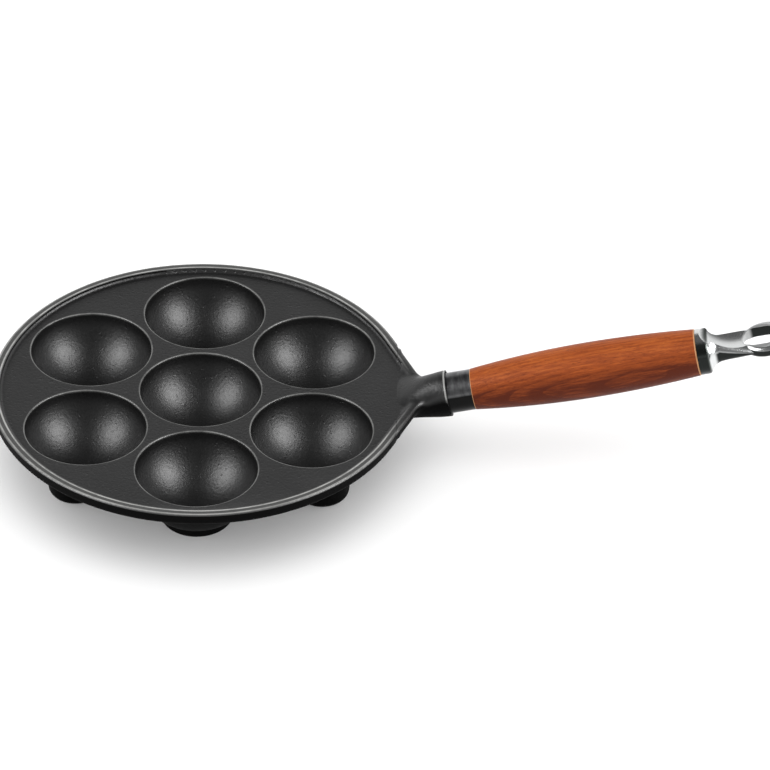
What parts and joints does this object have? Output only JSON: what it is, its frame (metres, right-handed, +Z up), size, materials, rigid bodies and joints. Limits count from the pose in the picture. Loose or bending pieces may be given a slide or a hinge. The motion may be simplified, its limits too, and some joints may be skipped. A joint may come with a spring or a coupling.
{
  "type": "aebleskiver pan",
  "caption": "Round cast iron pan with a ring of hemispherical wells, and a turned wooden grip drawn onto its socket by a tie rod with a hanging eye.",
  "frame": {"origin": "on the surface the pan stands on, under the middle well", "axes": "+X out along the handle, +Y to the far side, +Z up"},
  "size_m": [0.4, 0.2108, 0.0785],
  "materials": {
    "cast_iron": "satin black, lightly textured as cast",
    "ferrule_steel": "polished steel",
    "varnished_beech": "stained and varnished, satin",
    "eye_chrome": "polished",
    "rod_steel": "zinc plated"
  },
  "bodies": {
    "pan": {"pan_casting": "cast_iron"},
    "handle": {"wood_grip": "varnished_beech", "front_ferrule": "ferrule_steel"},
    "hanger": {"hanging_eye": "eye_chrome", "tie_rod": "rod_steel"}
  },
  "joints": [
    {"name": "handle_draw_off", "type": "slide", "parent": "pan", "child": "handle", "axis": [0.9763, 0, 0.2164], "range_m": [0, 0.015]},
    {"name": "eye_unscrew", "type": "hinge", "parent": "handle", "child": "hanger", "pos_m": [0.27114, 0, 0.06967], "axis": [0.9763, 0, 0.2164], "range_deg": [0, 4320]}
  ],
  "couplings": [
    {"joint": "eye_unscrew", "follows": "handle_draw_off", "rad_per_m": 5026.5}
  ]
}
